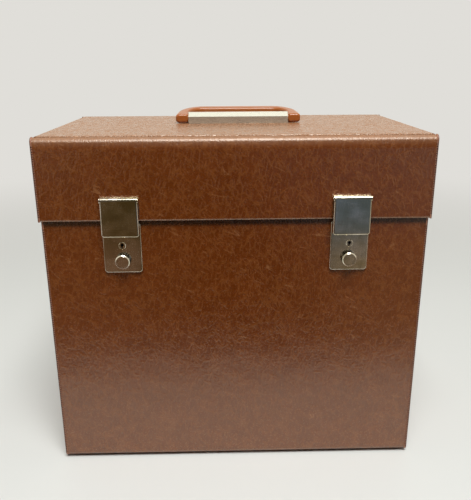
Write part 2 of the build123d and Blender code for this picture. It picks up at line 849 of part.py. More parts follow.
def box_from(x0, x1, z0, z1):
    """Draw a rectangle between two x and two z values."""
    with Locations(((x0 + x1) / 2, (z0 + z1) / 2)):
        Rectangle(abs(x1 - x0), abs(z1 - z0))


def lock_button(side_name, x):
    """Round button on the slide's post, with a bevelled rim round its flat face."""
    back_y = lock_face_y - slide_clearance
    with BuildPart() as button:
        with BuildSketch(facing_front(back_y)):
            with Locations((x, button_z)):
                Circle(button_radius)
        extrude(amount=button_height)
        chamfer(button.faces().sort_by(Axis.Y)[0].edges(), button_bevel)
        with BuildSketch(facing_front(back_y - button_height)):
            with Locations((x, button_z)):
                Circle(button_face_radius)
        extrude(amount=-button_face_depth, mode=Mode.SUBTRACT)
    save(button, f"lock_button_{side_name}")


def lock_spring(side_name, side, x):
    """Coil spring between the lock case's outer wall and the slide's block."""
    start = x + side * (slide_near + spring_end_gap)
    end = x + side * (lock_case_width / 2 - lock_case_sheet - spring_end_gap)
    length = abs(end - start) - spring_wire
    y = slide_front_y + slide_block / 2
    first = min(start, end) + spring_wire / 2
    centre = (first, y, button_z - spring_drop)
    with BuildPart() as spring:
        with BuildLine() as coil:
            Helix(length / spring_turns, length, spring_radius, centre, direction=(1, 0, 0))
        with BuildSketch(Plane(origin=coil.line @ 0, z_dir=coil.line % 0)):
            RegularPolygon(spring_wire / 2, 6)
        sweep(is_frenet=True)
    save(spring, f"lock_spring_{side_name}")


def key_plug(side_name, side, x):
    """Turning plug with the keyhole in its face and a locking finger at its back."""
    face_y = lock_face_y - key_ring_height + key_plug_recess
    with BuildPart() as plug:
        with BuildSketch(facing_front(face_y + key_plug_length)):
            with Locations((x, key_z)):
                Circle(key_plug_radius)
        extrude(amount=key_plug_length)
        with BuildSketch(facing_front(face_y)):
            with Locations((x, key_z + keyhole_rise)):
                Circle(keyhole_radius)
            with Locations((x - keyhole_offset, key_z - keyhole_length / 2)):
                Rectangle(keyhole_slot, keyhole_length)
        extrude(amount=-keyhole_depth, mode=Mode.SUBTRACT)
        with BuildSketch(facing_front(face_y + key_plug_length)):
            box_from(x - key_finger_width / 2, x + key_finger_width / 2, key_z - key_finger_length, key_z)
        extrude(amount=key_finger_sheet)
    save(plug, f"key_plug_{side_name}")


def handle_channel():
    """Bevelled aluminium bar screwed to the lid, with a round seat for the handle's rod."""
    x = handle_offset - channel_length / 2
    back = channel_front + channel_depth
    ridge = channel_ridge / 2
    with BuildPart() as channel:
        with BuildSketch(Plane.YZ.offset(x)):
            with BuildLine():
                Polyline(
                    (channel_front, top_z),
                    (channel_front, top_z + channel_side),
                    (channel_y - ridge, top_z + channel_height),
                    (channel_y + ridge, top_z + channel_height),
                    (back, top_z + channel_side),
                    (back, top_z),
                    close=True,
                )
            make_face()
            with Locations((channel_y, rod_z)):
                Circle(rod_radius + rod_fit, mode=Mode.SUBTRACT)
            with Locations((channel_y, top_z)):
                Rectangle(2 * (rod_radius + rod_fit), 2 * rod_above_lid, mode=Mode.SUBTRACT)
        extrude(amount=channel_length)
        with BuildSketch(Plane.XY.offset(top_z)):
            with Locations(*screw_points):
                Circle(screw_radius + running_fit)
        extrude(amount=screw_bite + screw_hole_end, mode=Mode.SUBTRACT)
    save(channel, "handle_channel")


def handle_backing():
    """Steel strip inside the lid under the handle's screws."""
    inside_z = top_z - wall - lining
    with BuildPart() as backing:
        with BuildSketch(Plane.XY.offset(inside_z)):
            with Locations((handle_offset, channel_y)):
                RectangleRounded(
                    screw_pitch + 2 * backing_margin, channel_depth + backing_margin, backing_corner
                )
        extrude(amount=-backing_sheet)
        handle_screw_holes()
    save(backing, "handle_backing_strip")


def handle_screws():
    """Four screws driven up from inside the lid into the channel."""
    seat_z = top_z - wall - lining - backing_sheet
    with BuildPart() as screws:
        with BuildSketch(Plane.XY.offset(seat_z)):
            with Locations(*screw_points):
                Circle(screw_radius)
        extrude(amount=top_z - seat_z + screw_bite)
        with BuildSketch(Plane.XY.offset(seat_z)):
            with Locations(*screw_points):
                Circle(screw_head_radius)
        extrude(amount=-screw_head_height)
    save(screws, "handle_screws")


def loop_outline(half, front, straight, reach, mode=Mode.ADD):
    """Draw a loop seen from above: straight arms and grip, with elliptical shoulders."""
    shoulder = grip_half_length
    with BuildLine() as outline:
        Line((-shoulder, reach), (shoulder, reach))
        for side in (-1, 1):
            start = 0 if side > 0 else 90
            middle = side * shoulder, straight
            EllipticalCenterArc(middle, half - shoulder, reach - straight, start, arc_size=90)
            Line((side * half, straight), (side * half, -front))
        Line((-half, -front), (half, -front))
    make_face(outline.edges(), mode=mode)


def loop_front():
    """Draw the loop seen from the front, with rounded noses at its two ends."""
    straight = loop_half - nose_length
    nose = nose_length + nose_past_end
    with BuildLine() as outline:
        for side in (-1, 1):
            turns = (0, 270) if side > 0 else (90, 180)
            for start in turns:
                EllipticalCenterArc((side * straight, 0), nose, grip_half_height, start, arc_size=90)
        for rise in (-1, 1):
            Line((-straight, rise * grip_half_height), (straight, rise * grip_half_height))
    make_face(outline.edges())


def loop_end():
    """Draw the loop seen from its end: low at the tips, and as high as the grip behind."""
    with BuildLine() as outline:
        Polyline(
            (-tip_front, -tip_half_height),
            (handle_reach, -grip_half_height),
            (handle_reach, grip_half_height),
            (-tip_front, tip_half_height),
            close=True,
        )
    make_face(outline.edges())


def handle_loop():
    """Moulded loop: a rod in the channel, two arms past its ends and a thick grip behind."""
    tilt = radians(handle_tilt)
    flat = Plane(
        origin=(handle_offset, channel_y, rod_z), x_dir=(1, 0, 0), z_dir=(0, -sin(tilt), cos(tilt))
    )
    upright = Plane(origin=flat.origin, x_dir=(1, 0, 0), z_dir=-flat.y_dir)
    endways = Plane(origin=flat.origin, x_dir=flat.y_dir, z_dir=(1, 0, 0))
    arm_inside = channel_length / 2 + arm_gap
    with BuildPart() as loop:
        with BuildSketch(flat):
            loop_outline(loop_half, tip_front, 0, handle_reach)
            straight = channel_depth / 2 + arm_straight
            loop_outline(arm_inside, 2 * tip_front, straight, grip_inside, Mode.SUBTRACT)
        extrude(amount=2 * grip_half_height, both=True)
        with BuildSketch(upright):
            loop_front()
        extrude(amount=2 * handle_reach, both=True, mode=Mode.INTERSECT)
        with BuildSketch(endways):
            loop_end()
        extrude(amount=handle_length, both=True, mode=Mode.INTERSECT)
        fillet(loop.edges(), handle_rounding)
        with BuildSketch(Plane.YZ.offset(handle_offset - arm_inside - handle_rounding)):
            with Locations((channel_y, rod_z)):
                Circle(rod_radius)
        extrude(amount=2 * (arm_inside + handle_rounding))
    save(loop, "handle_loop")


for shell in (lid, body):
    band_cover(shell)
    inner_lining(shell)
    long_board(shell, -1, "front")
    long_board(shell, 1, "back")
    for side, side_name in ((-1, "left"), (1, "right")):
        end_board(shell, side, side_name)
        end_cover(shell, side, side_name)
        welt(shell, side, side_name)
flat_board(lid, "top", crease_gap)
flat_board(body, "bottom", 0)
rim_collar()
feet()

for side_name, x in hinge_places:
    hinge_leaf(f"hinge_body_leaf_{side_name}", x, -1, 0)
    hinge_leaf(f"hinge_lid_leaf_{side_name}", x, 1, 1)
    hinge_pin(f"hinge_pin_{side_name}", x)
hinge_outer_y = lid.back + leaf_sheet
hinge_inner_y = lid.back - wall - lining
rivets("hinge_rivets_lid", hinge_outer_y, hinge_inner_y, hinge_rivet_points(1))
rivets("hinge_rivets_body", hinge_outer_y, hinge_inner_y, hinge_rivet_points(-1))

for side_name, side, x in latch_places:
    hasp_plate(side_name, x)
    hasp_flap(side_name, x)
    hasp_pin(side_name, x)
    hasp_catch(side_name, x)
    lock_plate(side_name, side, x)
    lock_case(side_name, side, x)
    lock_backing(side_name, side, x)
    lock_slide(side_name, side, x)
    lock_button(side_name, x)
    lock_spring(side_name, side, x)
    key_plug(side_name, side, x)
rivets("hasp_rivets", lid.front - hasp_plate_sheet, lid.front + wall + lining, hasp_rivet_points())
rivets(
    "lock_rivets",
    case_back_y - lock_case_sheet,
    body.front + wall + lining + collar_board + lock_backing_sheet,
    all_lock_rivet_points(),
)

handle_channel()
handle_backing()
handle_screws()
handle_loop()
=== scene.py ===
import json
import math

import bpy
from mathutils import Matrix, Vector


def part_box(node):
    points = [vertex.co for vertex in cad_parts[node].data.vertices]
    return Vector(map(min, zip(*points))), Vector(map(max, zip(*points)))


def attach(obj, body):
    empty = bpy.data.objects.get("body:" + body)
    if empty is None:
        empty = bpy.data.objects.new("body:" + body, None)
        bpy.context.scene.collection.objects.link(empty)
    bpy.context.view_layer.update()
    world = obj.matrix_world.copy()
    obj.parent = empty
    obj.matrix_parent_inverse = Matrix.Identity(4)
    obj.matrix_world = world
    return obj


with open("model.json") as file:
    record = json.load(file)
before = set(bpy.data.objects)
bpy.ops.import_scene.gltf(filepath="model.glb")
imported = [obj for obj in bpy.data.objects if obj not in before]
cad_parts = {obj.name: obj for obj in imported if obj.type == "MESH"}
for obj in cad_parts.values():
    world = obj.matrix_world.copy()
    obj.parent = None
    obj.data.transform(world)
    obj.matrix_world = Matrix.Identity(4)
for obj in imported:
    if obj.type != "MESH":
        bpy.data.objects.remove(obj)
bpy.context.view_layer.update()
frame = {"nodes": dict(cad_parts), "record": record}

MM = 0.001
X, Y, Z = range(3)
LOW, HIGH = range(2)


def edge_of(node, corner, axis):
    """Low or high limit of a CAD node along an axis, in millimetres."""
    return round(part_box(node)[corner][axis] / MM, 3)


# Millimetres, from the frame: the ends of lid and body, the rim where they meet, the lid's top,
# the body's underside and the front of the key plugs
LID_END = edge_of("lid_right_welt", HIGH, X)
BODY_END = edge_of("body_right_welt", HIGH, X)
RIM_HEIGHT = edge_of("lid_band_cover", LOW, Z)
LID_TOP = edge_of("lid_band_cover", HIGH, Z)
BODY_BOTTOM = edge_of("body_band_cover", LOW, Z)
KEY_FRONT = edge_of("key_plug_left", LOW, Y)
LID_WELT_TOP = edge_of("lid_right_welt", HIGH, Z)
WELT_WIDTH = LID_END - edge_of("lid_right_welt", LOW, X)

# Heights in millimetres between which a change in the covering takes place: the flat top of the
# lid, the roll at its top edges, the painted shadow of the lid's overhang below the rim and the
# painted highlight on the lid's rounded lower edge above it
TOP_STARTS = (LID_TOP - 2.0, LID_TOP - 0.5)
ROLL_STARTS = (LID_TOP - 13.0, LID_TOP + 5.2)
SHADOW_BAND_STARTS = (RIM_HEIGHT - 7.0, RIM_HEIGHT - 3.5)
SHADOW_BAND_ENDS = (RIM_HEIGHT + 0.2, RIM_HEIGHT)
EDGE_HIGHLIGHT_STARTS = (RIM_HEIGHT + 0.2, RIM_HEIGHT + 0.7)
EDGE_HIGHLIGHT_ENDS = (RIM_HEIGHT + 2.2, RIM_HEIGHT + 1.2)

# Relief of the covering: its unit in millimetres, and how many units each part stands or sinks
RELIEF_UNIT = 0.075
SWELL = 9.0
CREASE = 1.0
CREASE_MORE_ON_TOP = 0.8
PIT = 0.6
GRAIN = 1.9
SCRATCH = 0.5
ROLL = 40.0

# Places on a welt, in shares of its width inwards from its end: where the sewn outer half, darker
# as painted shade, gives way to the bare inner half, lighter as a painted highlight
SEWN_TO = 0.4
BARE_FROM = 0.55

# Stitches, in millimetres and degrees; the bedding is the share of the radius that sinks in
STITCH_PITCH = 2.1
STITCH_RADIUS = 0.42
STITCH_REACH = 1.3
STITCH_BEVEL = 0.12
STITCH_BEDDING = 0.2
STITCH_LEAN = 14.0
STITCH_SIDES = 6
STITCH_SMOOTHING = 40.0
SEAM_MARGIN = 5.0

SIDES = (("left", -1), ("right", 1))
FACES = (("front", LOW, -1), ("back", HIGH, 1))

# Camera, in metres, radians and millimetres of lens: in front of the case, a little above its lid
CAMERA_PLACE = Vector((-0.01218, -0.62645, 0.39296))
CAMERA_HEADING = math.radians(1.2588)
CAMERA_DOWN = math.radians(17.678)
CAMERA_ROLL = math.radians(-0.3)
CAMERA_LENS = 42.37
CAMERA_SENSOR = 36.0
CAMERA_NEAREST = 0.01
CAMERA_FARTHEST = 50.0

# Floor, in metres, and where it fades into the room, in millimetres from the case's middle
FLOOR_SIZE = 16.0
FLOOR_FADES = (450.0, 1700.0)
FLOOR_ENDS_IN_REFLECTIONS = (-235.0, -345.0)

# Room before the case as reflections show it, in millimetres to the right and ahead
ROOM_TURNS_FAR = (-780.0, -1000.0)
ROOM_TURNS_WARM = (-60.0, -210.0)
ROOM_TURNS_COOL = (90.0, 260.0)
ROOM_TURNS_PALE = (700.0, 1300.0)

# Directions, each as a share of a unit vector, between which the room turns dim
DIM_AHEAD = (-0.1, -0.7)
DIM_BELOW = (0.92, 0.50)

# Lamp over the case and in front of it, in metres and watts
LAMP_PLACE = (0.16, -1.15, 2.45)
LAMP_TARGET = (0.0, 0.0, 0.2)
LAMP_SIZE = 1.15
LAMP_WATTS = 74.0


# -------------------------------------------------------------------- colours


def colour(red, green, blue):
    """A screen colour of 0 to 255 as a linear one."""
    def linear(c):
        c /= 255
        return c / 12.92 if c <= 0.04045 else ((c + 0.055) / 1.055) ** 2.4
    return (linear(red), linear(green), linear(blue), 1.0)


# Finishes that vary between two tones
LEATHER = (colour(99, 43, 0), colour(107, 48, 1))
# Welt's inner half: painted highlight along its ridge
WELT_BARE_HIGHLIGHT = (colour(146, 94, 70), colour(184, 134, 110))
# Welt's sewn outer half: dark, partly painted shade
WELT_SEWN_SHADE = (colour(88, 56, 42), colour(136, 94, 74))
THREAD = (colour(18, 10, 8), colour(38, 24, 18))
BOARD = (colour(140, 118, 92), colour(182, 160, 130))
LINING = (colour(176, 152, 120), colour(200, 180, 150))
FIBRE = (colour(66, 36, 24), colour(92, 54, 36))
NICKEL = (colour(198, 190, 164), colour(230, 222, 206))
ZINC = (colour(150, 152, 150), colour(190, 190, 184))
WIRE = (colour(90, 92, 96), colour(140, 142, 146))
ALUMINIUM = (colour(214, 214, 202), colour(228, 229, 219))
PLASTIC = (colour(150, 80, 30), colour(168, 96, 42))
FLOOR = (colour(221, 223, 219), colour(225, 227, 223))

# Wear and marks on them, and painted light: a painted shadow, painted highlights and painted shade
LEATHER_SHEEN = (1.0, 0.90, 0.78, 1.0)
LEATHER_IN_PITS = colour(82, 33, 0)
LEATHER_ON_CREASES = colour(160, 100, 50)
LEATHER_SCRATCHED = colour(190, 134, 88)
# Lighter on the roll at the lid's top edges: partly wear, partly a painted highlight
LEATHER_ROLL_WEAR_AND_HIGHLIGHT = colour(200, 156, 112)
# Painted shadow: the dark band where the lid's overhang shades the body below the rim
LEATHER_PAINTED_SHADOW = colour(34, 12, 2)
# Painted highlight on the lid's rounded lower edge
LEATHER_EDGE_HIGHLIGHT = colour(196, 158, 132)
NICKEL_TARNISH = colour(150, 128, 90)
NICKEL_IN_LINES = colour(120, 112, 96)
# Painted shade inside the keyhole
KEYHOLE_PAINTED_SHADE = colour(14, 11, 9)

# Room
PALE_ROOM = colour(224, 222, 217)
DARK_ROOM = colour(26, 20, 14)
WARM_NEAR = colour(116, 88, 68)
WARM_FAR = colour(78, 62, 34)
COOL_NEAR = colour(132, 114, 92)
COOL_FAR = colour(90, 103, 119)
WORLD_BRIGHT = colour(252, 246, 232)
WORLD_AS_LIGHT = colour(116, 115, 113)
WORLD_DIM = colour(44, 38, 30)


# ---------------------------------------------------------------- shader sums


class Value:
    """A socket that takes part in sums: each operation adds a Math node to its tree."""

    def __init__(self, nodes, socket):
        self.nodes, self.socket = nodes, socket

    def __add__(self, other):
        return self.nodes.sum("ADD", self, other)

    def __sub__(self, other):
        return self.nodes.sum("SUBTRACT", self, other)

    def __mul__(self, other):
        return self.nodes.sum("MULTIPLY", self, other)

    def __rsub__(self, other):
        return self.nodes.sum("SUBTRACT", other, self)

    def __abs__(self):
        return self.nodes.sum("ABSOLUTE", self, 0.0)

    __radd__ = __add__
    __rmul__ = __mul__


class Nodes:
    """The nodes of one material or of the world."""

    def __init__(self, tree):
        self.tree = tree

    def add(self, kind, settings=None, output=0, **inputs):
        """Add a node: its settings first, then the values or links of its sockets."""
        node = self.tree.nodes.new("ShaderNode" + kind)
        for name, value in (settings or {}).items():
            setattr(node, name, value)
        for name, value in inputs.items():
            self.feed(node.inputs[name.replace("_", " ")], value)
        return Value(self, node.outputs[output])

    def feed(self, socket, value):
        """Link a value to a socket, or set the socket to a constant."""
        if isinstance(value, Value):
            self.tree.links.new(value.socket, socket)
        else:
            socket.default_value = value

    def sum(self, operation, first, second):
        """A Math node on two numbers."""
        return self.pair("Math", operation, first, second)

    def pair(self, kind, operation, first, second):
        """A Math or Vector Math node on two values."""
        node = self.tree.nodes.new("ShaderNode" + kind)
        node.operation = operation
        self.feed(node.inputs[0], first)
        self.feed(node.inputs[1], second)
        return Value(self, node.outputs[0])

    def parts(self, vector):
        """The x, y and z of a vector."""
        split = self.add("SeparateXYZ", Vector=vector).socket.node
        return [Value(self, output) for output in split.outputs]

    def step(self, value, low, high):
        """0 at low and 1 at high, smooth between; low may be the larger."""
        rising = low < high
        return self.add(
            "MapRange", {"interpolation_type": "SMOOTHSTEP"}, Value=value,
            From_Min=min(low, high), From_Max=max(low, high),
            To_Min=0.0 if rising else 1.0, To_Max=1.0 if rising else 0.0,
        )

    def mix(self, factor, first, second):
        """Blend two colours."""
        node = self.tree.nodes.new("ShaderNodeMix")
        node.data_type = "RGBA"
        self.feed(node.inputs["Factor"], factor)
        self.feed(node.inputs[6], first)
        self.feed(node.inputs[7], second)
        return Value(self, node.outputs[2])

    def layers(self, base, *over):
        """Blend colours over a base one by one, each by its mask and its strength."""
        for mask, strength, tone in over:
            base = self.mix(mask * strength, base, tone)
        return base

    def place(self, stretch=(1.0, 1.0, 1.0), turn=0.0):
        """Place on the object in millimetres, turned about Y by degrees, its patterns stretched."""
        return self.add(
            "Mapping", {"vector_type": "TEXTURE"}, Vector=self.add("TexCoord", output=3),
            Rotation=(0.0, math.radians(turn), 0.0), Scale=tuple(s * MM for s in stretch),
        )

    def noise(self, place, size, detail=2.0, roughness=0.5):
        """Noise whose lumps are about size millimetres across."""
        return self.add(
            "TexNoise", Vector=place, Scale=1 / size, Detail=detail, Roughness=roughness
        )

    def warp(self, place, size, amount):
        """The place, pushed about by noise of a size, both in millimetres."""
        push = self.add("TexNoise", output=1, Vector=place, Scale=1 / size, Detail=2.0)
        centred = self.pair("VectorMath", "SUBTRACT", push, (0.5, 0.5, 0.5))
        push = self.pair("VectorMath", "MULTIPLY", centred, (amount, amount, amount))
        return self.pair("VectorMath", "ADD", place, push)

    def cell_edges(self, place, size):
        """Distance from the edges of cells about size millimetres across."""
        return self.add("TexVoronoi", {"feature": "DISTANCE_TO_EDGE"}, Vector=place, Scale=1 / size)


class Paint(Nodes):
    """One material: constants are set on its shader, and paint() links what varies."""

    def __init__(self, name, constants=None):
        self.material = bpy.data.materials.new(name)
        self.material.use_nodes = True
        super().__init__(self.material.node_tree)
        self.shader = self.tree.nodes["Principled BSDF"]
        for socket, value in (constants or {}).items():
            self.shader.inputs[socket].default_value = value

    def paint(self, **inputs):
        """Link or set sockets of the shader."""
        for name, value in inputs.items():
            self.feed(self.shader.inputs[name.replace("_", " ")], value)

    def emboss(self, height, depth):
        """Bump from a height counted in depths, a depth being in millimetres."""
        bump = self.add("Bump", Height=height, Distance=depth * MM)
        self.feed(self.shader.inputs["Normal"], bump)

    def follow(self, pattern, tones, smoothest, rougher, depth):
        """Let tone, roughness and relief all follow one pattern of 0 to 1."""
        self.paint(Base_Color=self.mix(pattern, *tones), Roughness=smoothest + pattern * rougher)
        self.emboss(pattern, depth)
        return self.material


# ------------------------------------------------------------------ materials


def marks(p, place, stretch, lean, wander_size, wander, cell, edge, patch, cover):
    """Thin marks that run upright, lean by degrees, wander, and come and go in patches."""
    net = p.cell_edges(p.warp(p.place((1.0, 1.0, stretch), lean), wander_size, wander), cell)
    return p.step(net, *edge) * p.step(p.noise(place, patch), *cover)


def leather_relief(p, place, rolled, top):
    """Height of the embossed covering, with its creases, pits and scratches."""
    upright = marks(
        p, place, stretch=3.0, lean=9.0, wander_size=9.0, wander=5.5, cell=4.0,
        edge=(0.14, 0.02), patch=6.0, cover=(0.34, 0.56),
    )
    leaning = marks(
        p, place, stretch=3.0, lean=-42.0, wander_size=9.0, wander=5.5, cell=4.6,
        edge=(0.12, 0.01), patch=9.0, cover=(0.44, 0.60),
    )
    scratches = marks(
        p, place, stretch=9.0, lean=-64.0, wander_size=20.0, wander=12.0, cell=15.0,
        edge=(0.016, 0.0), patch=13.0, cover=(0.56, 0.66),
    )
    creases = p.sum("MAXIMUM", upright, leaning)
    pits = p.step(p.noise(place, size=2.0, detail=1.0), 0.42, 0.28)
    swell = p.noise(place, size=42.0, detail=1.0)
    grain = p.noise(place, size=2.2, detail=1.0)
    height = (
        swell * SWELL + creases * (top * CREASE_MORE_ON_TOP + CREASE) - pits * PIT
        + grain * GRAIN + scratches * SCRATCH - rolled * ROLL
    )
    return height, creases, pits, scratches


def leathercloth():
    """Brown embossed leathercloth with a soft sheen, lighter on its rolled edge as wear and painted
    highlight, with a painted shadow below the rim and a painted highlight on the lid's lower edge.
    """
    p = Paint("brown_leathercloth", {
        "IOR": 1.6, "Specular IOR Level": 1.0, "Specular Tint": LEATHER_SHEEN,
    })
    place = p.place()
    z = p.parts(place)[Z]
    top = p.step(z, *TOP_STARTS)
    rolled = p.step(z, *ROLL_STARTS)
    # Painted shadow of the lid's overhang, just below the rim
    lid_shadow = p.step(z, *SHADOW_BAND_STARTS) * p.step(z, *SHADOW_BAND_ENDS)
    # Painted highlight along the lid's rounded lower edge, just above the rim
    edge_highlight = p.step(z, *EDGE_HIGHLIGHT_STARTS) * p.step(z, *EDGE_HIGHLIGHT_ENDS)
    height, creases, pits, scratches = leather_relief(p, place, rolled, top)
    mottle = p.noise(place, size=20.0, detail=4.0, roughness=0.6)
    wear_and_painted_light = p.layers(
        p.mix(p.step(mottle, 0.3, 0.7), *LEATHER),
        (pits, 0.28, LEATHER_IN_PITS),
        (creases, 0.24, LEATHER_ON_CREASES),
        (scratches, 0.35, LEATHER_SCRATCHED),
        # lighter on the roll: wear and painted highlight
        (rolled, 0.32, LEATHER_ROLL_WEAR_AND_HIGHLIGHT),
        # painted shadow below the rim
        (lid_shadow, 0.70, LEATHER_PAINTED_SHADOW),
        # painted highlight on the lid's lower edge
        (edge_highlight, 0.45, LEATHER_EDGE_HIGHLIGHT),
    )
    softer = rolled * (1 - top) * 0.3 + top * creases * 0.28
    p.paint(Base_Color=wear_and_painted_light, Roughness=0.23 + mottle * 0.06 + pits * 0.08 + softer)
    p.emboss(height, RELIEF_UNIT)
    return p.material


def edge_welt():
    """Welt of the covering: its outer half dark with sewing and partly painted shade, its inner
    half bare and lighter as a painted highlight along its ridge.
    """
    p = Paint("edge_welt", {"IOR": 1.5})
    place = p.place()
    x, _, z = p.parts(place)
    end = BODY_END + (LID_END - BODY_END) * p.step(z, RIM_HEIGHT - 0.1, RIM_HEIGHT + 0.1)
    # Outer sewn half darker as painted shade, inner half lighter as painted highlight
    sewn_shade = p.step(abs(x) - end, -WELT_WIDTH * BARE_FROM, -WELT_WIDTH * SEWN_TO)
    fibres = p.noise(place, size=0.6, detail=4.0, roughness=0.7)
    bare_highlight_tone = p.mix(fibres, *WELT_BARE_HIGHLIGHT)
    sewn_shade_tone = p.mix(fibres, *WELT_SEWN_SHADE)
    p.paint(Base_Color=p.mix(sewn_shade, bare_highlight_tone, sewn_shade_tone), Roughness=0.42 + fibres * 0.16)
    p.emboss(fibres, 0.12)
    return p.material


def thread():
    """Dark waxed sewing thread, twisted."""
    p = Paint("dark_thread", {"Specular IOR Level": 0.15})
    twist = p.add("TexWave", {"bands_direction": "DIAGONAL"}, Vector=p.place(), Scale=1.6)
    return p.follow(twist, THREAD, smoothest=0.8, rougher=0.1, depth=0.05)


def board():
    """Grey-brown pressed board."""
    p = Paint("pressed_board")
    flecks = p.noise(p.place(), size=0.9, detail=5.0, roughness=0.75)
    return p.follow(flecks, BOARD, smoothest=0.85, rougher=0.1, depth=0.1)


def lining_paper():
    """Warm matt lining paper with a fine linen press."""
    p = Paint("lining_paper")
    place = p.place()
    across, along = (
        p.add("TexWave", {"bands_direction": way}, Vector=place, Scale=0.45, Distortion=0.6)
        for way in ("X", "Z")
    )
    press = across * 0.5 + along * 0.5
    age = p.noise(place, size=60.0, detail=4.0, roughness=0.6)
    p.paint(Base_Color=p.mix(age, *LINING), Roughness=0.75 + press * 0.1)
    p.emboss(press, 0.08)
    return p.material


def fibre():
    """Dark brown vulcanised fibre."""
    p = Paint("dark_fibre")
    grain = p.noise(p.place(), size=3.0, detail=5.0, roughness=0.65)
    return p.follow(grain, FIBRE, smoothest=0.42, rougher=0.2, depth=0.06)


def nickel_plate(name):
    """Warm polished nickel: crossed polishing lines, a little haze and faint tarnish."""
    p = Paint(name, {"Metallic": 1.0})
    place = p.place()
    upright = p.noise(p.place((1.0, 1.0, 26.0), turn=4.0), size=0.45)
    level = p.noise(p.place((26.0, 1.0, 1.0), turn=3.0), size=0.45)
    lines = (upright + level) * 0.5
    haze = p.step(p.noise(p.warp(place, 16.0, 9.0), size=19.0), 0.34, 0.64)
    tarnish = p.step(p.noise(place, size=7.0, detail=4.0, roughness=0.6), 0.54, 0.76)
    waves = p.noise(place, size=7.0)
    tone = p.layers(
        p.mix(haze, *NICKEL),
        (tarnish, 0.25, NICKEL_TARNISH),
        (p.step(lines, 0.4, 0.6), 0.20, NICKEL_IN_LINES),
    )
    p.paint(Roughness=0.11 + haze * 0.04 + lines * 0.06 + tarnish * 0.05)
    p.emboss(lines + waves * 1.2, 0.010)
    return p, tone


def nickel():
    """Nickel of the latches, rivets, screws and studs."""
    p, tone = nickel_plate("worn_nickel")
    p.paint(Base_Color=tone)
    return p.material


def key_nickel():
    """Nickel of the key plugs, with painted shade inside the keyhole."""
    p, tone = nickel_plate("key_nickel")
    # Painted shade: darker deeper than the plug's front, inside the keyhole
    inside = p.step(p.parts(p.place())[Y], KEY_FRONT + 0.3, KEY_FRONT + 0.5)
    p.paint(Base_Color=p.mix(inside, tone, KEYHOLE_PAINTED_SHADE))
    return p.material


def zinc():
    """Dull zinc-plated steel of the hidden works."""
    p = Paint("dull_zinc", {"Metallic": 1.0})
    spangle = p.noise(p.place(), size=2.2, detail=4.0, roughness=0.7)
    return p.follow(spangle, ZINC, smoothest=0.32, rougher=0.2, depth=0.02)


def spring_wire():
    """Dark drawn wire."""
    p = Paint("spring_wire", {"Metallic": 1.0})
    lines = p.noise(p.place((4.0, 1.0, 1.0)), size=0.4, detail=3.0)
    return p.follow(lines, WIRE, smoothest=0.28, rougher=0.15, depth=0.01)


def satin_aluminium():
    """Aluminium bar, brushed along its length, with small nicks."""
    p = Paint("satin_aluminium", {"Metallic": 0.86})
    lines = p.noise(p.place((40.0, 1.0, 1.0)), size=0.35, detail=4.0, roughness=0.7)
    nicks = p.step(p.noise(p.place(), size=2.4, detail=5.0, roughness=0.7), 0.66, 0.74)
    p.paint(Base_Color=p.mix(lines, *ALUMINIUM), Roughness=0.24 + lines * 0.08 + nicks * 0.12)
    p.emboss(lines * 0.7 - nicks * 0.5, 0.02)
    return p.material


def tan_plastic():
    """Glossy orange-tan moulding with soft streaks and handling marks."""
    p = Paint("tan_plastic", {
        "Specular IOR Level": 0.3, "Coat Weight": 0.3, "Coat Roughness": 0.12,
    })
    streaks = p.noise(p.place((6.0, 1.0, 1.0)), size=4.0, detail=4.0, roughness=0.6)
    handled = p.step(p.noise(p.place(), size=6.0, detail=4.0, roughness=0.6), 0.5, 0.75)
    grain = p.noise(p.place(), size=1.2, detail=3.0)
    p.paint(Base_Color=p.mix(streaks, *PLASTIC), Roughness=0.30 + handled * 0.14)
    p.emboss(streaks * 0.5 + grain * 0.3, 0.03)
    return p.material


def finish_cad_nodes():
    """Give every CAD node the finish of its material slot."""
    finishes = {
        "leathercloth": leathercloth(),
        "welt": edge_welt(),
        "board": board(),
        "lining": lining_paper(),
        "fibre": fibre(),
        "nickel": nickel(),
        "zinc_steel": zinc(),
        "spring_steel": spring_wire(),
        "aluminium": satin_aluminium(),
        "tan_plastic": tan_plastic(),
    }
    keyed = key_nickel()
    for entry in frame["record"]["subparts"]:
        node = frame["nodes"][entry["node"]]
        is_key = entry["node"].startswith("key_plug")
        node.data.materials.clear()
        node.data.materials.append(keyed if is_key else finishes[entry["material_slot"]])


# ----------------------------------------------------------------- new pieces


def seam(name, body, end, face, outward, low, high, material):
    """Row of stitches over a welt's outer edge, from a low to a high place."""
    side = math.copysign(1, end)
    middle = end - side * (STITCH_REACH / 2 + STITCH_RADIUS)
    bpy.ops.object.select_all(action="DESELECT")
    bpy.ops.mesh.primitive_cylinder_add(
        vertices=STITCH_SIDES, radius=STITCH_RADIUS * MM, depth=STITCH_REACH * MM,
        location=(middle * MM, face * MM, (low + SEAM_MARGIN) * MM),
        rotation=(0, math.radians(90 - side * outward * STITCH_LEAN), 0),
    )
    row = bpy.context.active_object
    row.name = name
    bpy.ops.object.mode_set(mode="EDIT")
    bpy.ops.mesh.select_all(action="SELECT")
    bpy.ops.mesh.bevel(offset=STITCH_BEVEL * MM, segments=1)
    bpy.ops.object.mode_set(mode="OBJECT")
    bpy.ops.object.transform_apply(location=True, rotation=True, scale=True)
    bpy.ops.object.shade_smooth_by_angle(angle=math.radians(STITCH_SMOOTHING))
    repeat = row.modifiers.new("repeat", "ARRAY")
    repeat.count = int((high - low - 2 * SEAM_MARGIN) / STITCH_PITCH)
    repeat.use_relative_offset, repeat.use_constant_offset = False, True
    repeat.constant_offset_displace = (0, 0, STITCH_PITCH * MM)
    bpy.ops.object.modifier_apply(modifier=repeat.name)
    row.data.materials.append(material)
    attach(row, body)


